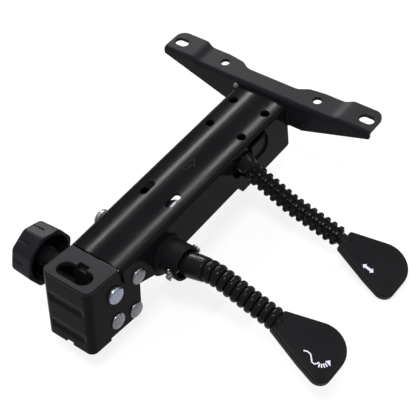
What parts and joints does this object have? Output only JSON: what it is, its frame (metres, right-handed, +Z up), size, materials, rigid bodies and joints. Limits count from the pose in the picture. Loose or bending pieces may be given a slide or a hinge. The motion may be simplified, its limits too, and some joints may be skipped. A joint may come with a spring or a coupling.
{
  "type": "chair seat plate",
  "caption": "Office chair seat mechanism: channel beam with a front crossbar and gas column socket, tilting back bracket with hand knob, lift lever and recline lever.",
  "frame": {"origin": "centre of the gas column socket's mouth, on the socket's axis", "axes": "+Z up the gas column's axis, +Y to the front of the seat where the crossbar is, +X to the side of the two levers"},
  "size_m": [0.3048, 0.2979, 0.0917],
  "materials": {
    "frame_paint": "semi-gloss black powder coat",
    "zinc": "bright zinc plate",
    "steel_plate": "plain oiled steel",
    "lever_steel": "black oxide",
    "sleeve_rubber": "matte black moulded rubber",
    "moulding": "fine-textured black nylon",
    "friction": "fibre friction ring",
    "insert_brass": "machined brass"
  },
  "bodies": {
    "seat_beam": {"beam_channel": "frame_paint", "front_crossbar": "frame_paint", "weld_beads": "frame_paint", "socket_cradle": "frame_paint", "taper_socket": "frame_paint", "socket_saddle": "frame_paint", "lift_hinge_pin": "zinc", "recline_cup": "frame_paint", "recline_pin": "zinc", "split_pin": "zinc", "clamp_rod": "zinc", "clamp_washers": "frame_paint", "clamp_nut": "frame_paint", "clamp_spacer": "zinc", "friction_ring": "friction", "pivot_pin": "zinc", "anchor_plate": "frame_paint", "stop_stud": "zinc"},
    "back_bracket": {"bracket_shell": "frame_paint", "bracket_cap": "frame_paint", "guide_shoe": "moulding", "bracket_rivets": "zinc", "clamp_bolt": "zinc", "lock_plates": "steel_plate"},
    "knob_carrier": {"knob_sleeve": "moulding"},
    "knob": {"knob": "moulding", "knob_insert": "insert_brass"},
    "recline_lever": {"recline_rod": "lever_steel", "recline_sleeve": "sleeve_rubber", "recline_paddle": "moulding"},
    "thrust_pad": {"thrust_pad": "steel_plate", "push_plate": "steel_plate"},
    "lift_lever": {"lift_rod": "lever_steel", "lift_sleeve": "sleeve_rubber", "lift_paddle": "moulding"}
  },
  "joints": [
    {"name": "recline", "type": "hinge", "parent": "seat_beam", "child": "back_bracket", "pos_m": [0, -0.16635, 0.03647], "axis": [1, 0, 0], "range_deg": [0, 20]},
    {"name": "knob_travel", "type": "slide", "parent": "back_bracket", "child": "knob_carrier", "axis": [-1, 0, 0], "range_m": [0, 0.0025]},
    {"name": "knob_turn", "type": "hinge", "parent": "knob_carrier", "child": "knob", "pos_m": [-0.055, -0.19211, 0.038], "axis": [-1, 0, 0], "range_deg": [0, 720]},
    {"name": "recline_lever_lift", "type": "hinge", "parent": "seat_beam", "child": "recline_lever", "pos_m": [0.044, -0.131, 0.029], "axis": [0, -1, 0], "range_deg": [0, 10]},
    {"name": "thrust_pad_travel", "type": "slide", "parent": "seat_beam", "child": "thrust_pad", "axis": [1, 0, 0], "range_m": [0, 0.0004]},
    {"name": "lift_lever_lift", "type": "hinge", "parent": "seat_beam", "child": "lift_lever", "pos_m": [0.017, -0.019, 0.044], "axis": [0, -1, 0], "range_deg": [0, 10]}
  ],
  "couplings": [
    {"joint": "knob_travel", "follows": "knob_turn", "m_per_rad": 0.00019894},
    {"joint": "thrust_pad_travel", "follows": "recline_lever_lift", "m_per_rad": 0.0022918}
  ]
}
